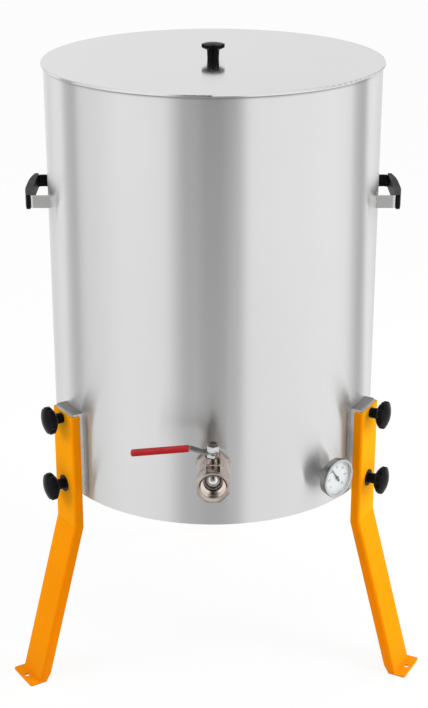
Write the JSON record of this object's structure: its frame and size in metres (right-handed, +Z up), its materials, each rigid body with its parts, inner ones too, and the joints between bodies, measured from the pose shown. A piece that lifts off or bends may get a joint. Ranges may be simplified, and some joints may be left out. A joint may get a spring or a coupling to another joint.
{
  "type": "honey settling tank",
  "caption": "Upright stainless drum on splayed sheet-metal legs, with a lift-off lid, side handles, a lever ball valve and a dial thermometer, for settling and bottling honey.",
  "frame": {"origin": "on the tank axis at floor level, the centre of the three foot holes", "axes": "+Z up along the tank axis; the valve's outlet faces -Y; the thermometer is towards +X"},
  "size_m": [0.6977, 0.7409, 1.0438],
  "materials": {
    "shell_steel": "satin stainless sheet",
    "lid_steel": "bright stainless sheet",
    "strap_steel": "satin stainless strap",
    "socket_steel": "turned stainless",
    "bracket_steel": "bare pressed steel, dull",
    "zinc_steel": "bright zinc plated",
    "stem_steel": "dark turned steel",
    "leg_paint": "orange powder coat, glossy",
    "knob_plastic": "black moulded plastic, semi-gloss",
    "grip_plastic": "black moulded plastic, satin",
    "valve_nickel": "nickel-plated brass, warm satin",
    "ball_chrome": "polished hard chrome",
    "seal_white": "white fluoropolymer",
    "sleeve_vinyl": "red dipped vinyl, semi-gloss",
    "gasket_fibre": "red sealing ring",
    "case_steel": "drawn stainless case",
    "bezel_steel": "polished stainless ring",
    "dial_white": "white printed aluminium dial",
    "pointer_black": "black lacquered pointer",
    "dial_glass": "flat instrument glass"
  },
  "bodies": {
    "tank": {"tank_shell": "shell_steel", "tank_floor": "shell_steel", "outlet_socket": "socket_steel", "thermometer_socket": "socket_steel", "bracket_nuts": "zinc_steel", "valve_body": "valve_nickel", "valve_end_cap": "valve_nickel", "valve_cap_seal": "seal_white", "valve_seats": "seal_white", "stem_packing": "seal_white", "gland_nut": "zinc_steel", "thermometer_probe": "socket_steel", "thermometer_seal": "gasket_fibre", "thermometer_case": "case_steel", "thermometer_dial": "dial_white", "thermometer_glass": "dial_glass", "thermometer_bezel": "bezel_steel", "leg_bracket_left": "bracket_steel", "leg_left": "leg_paint", "leg_bracket_right": "bracket_steel", "leg_right": "leg_paint", "leg_bracket_rear": "bracket_steel", "leg_rear": "leg_paint", "handle_strap_left": "strap_steel", "handle_grip_left": "grip_plastic", "handle_strap_right": "strap_steel", "handle_grip_right": "grip_plastic"},
    "lid": {"lid": "lid_steel", "lid_knob": "knob_plastic", "lid_knob_washer": "zinc_steel", "lid_knob_screw": "zinc_steel"},
    "valve_handle": {"valve_ball": "ball_chrome", "valve_stem": "stem_steel", "valve_lever": "zinc_steel", "lever_sleeve": "sleeve_vinyl", "lever_nut": "zinc_steel"},
    "pointer": {"thermometer_pointer": "pointer_black"},
    "knob_left_upper": {"leg_knob_left_upper": "knob_plastic", "knob_stud_left_upper": "zinc_steel"},
    "knob_left_lower": {"leg_knob_left_lower": "knob_plastic", "knob_stud_left_lower": "zinc_steel", "knob_washer_left": "knob_plastic"},
    "knob_right_upper": {"leg_knob_right_upper": "knob_plastic", "knob_stud_right_upper": "zinc_steel"},
    "knob_right_lower": {"leg_knob_right_lower": "knob_plastic", "knob_stud_right_lower": "zinc_steel", "knob_washer_right": "knob_plastic"},
    "knob_rear_upper": {"leg_knob_rear_upper": "knob_plastic", "knob_stud_rear_upper": "zinc_steel"},
    "knob_rear_lower": {"leg_knob_rear_lower": "knob_plastic", "knob_stud_rear_lower": "zinc_steel", "knob_washer_rear": "knob_plastic"}
  },
  "joints": [
    {"name": "lid_lift", "type": "slide", "parent": "tank", "child": "lid", "axis": [0, 0, 1], "range_m": [0, 0.3]},
    {"name": "valve_turn", "type": "hinge", "parent": "tank", "child": "valve_handle", "pos_m": [0, -0.315, 0.476], "axis": [0, 0, 1], "range_deg": [0, 90]},
    {"name": "pointer_turn", "type": "hinge", "parent": "tank", "child": "pointer", "pos_m": [0.19862, -0.21676, 0.3845], "axis": [-0.6756, 0.7373, 0], "range_deg": [-100, 170]},
    {"name": "knob_left_upper_turn", "type": "hinge", "parent": "tank", "child": "knob_left_upper", "pos_m": [-0.24612, -0.15619, 0.463], "axis": [-0.8443, -0.5358, 0], "continuous": true},
    {"name": "knob_left_lower_turn", "type": "hinge", "parent": "tank", "child": "knob_left_lower", "pos_m": [-0.24612, -0.15619, 0.345], "axis": [-0.8443, -0.5358, 0], "continuous": true},
    {"name": "knob_right_upper_turn", "type": "hinge", "parent": "tank", "child": "knob_right_upper", "pos_m": [0.25833, -0.13505, 0.463], "axis": [0.8862, -0.4633, 0], "continuous": true},
    {"name": "knob_right_lower_turn", "type": "hinge", "parent": "tank", "child": "knob_right_lower", "pos_m": [0.25833, -0.13505, 0.345], "axis": [0.8862, -0.4633, 0], "continuous": true},
    {"name": "knob_rear_upper_turn", "type": "hinge", "parent": "tank", "child": "knob_rear_upper", "pos_m": [-0.01221, 0.29124, 0.463], "axis": [-0.0419, 0.9991, 0], "continuous": true},
    {"name": "knob_rear_lower_turn", "type": "hinge", "parent": "tank", "child": "knob_rear_lower", "pos_m": [-0.01221, 0.29124, 0.345], "axis": [-0.0419, 0.9991, 0], "continuous": true}
  ]
}
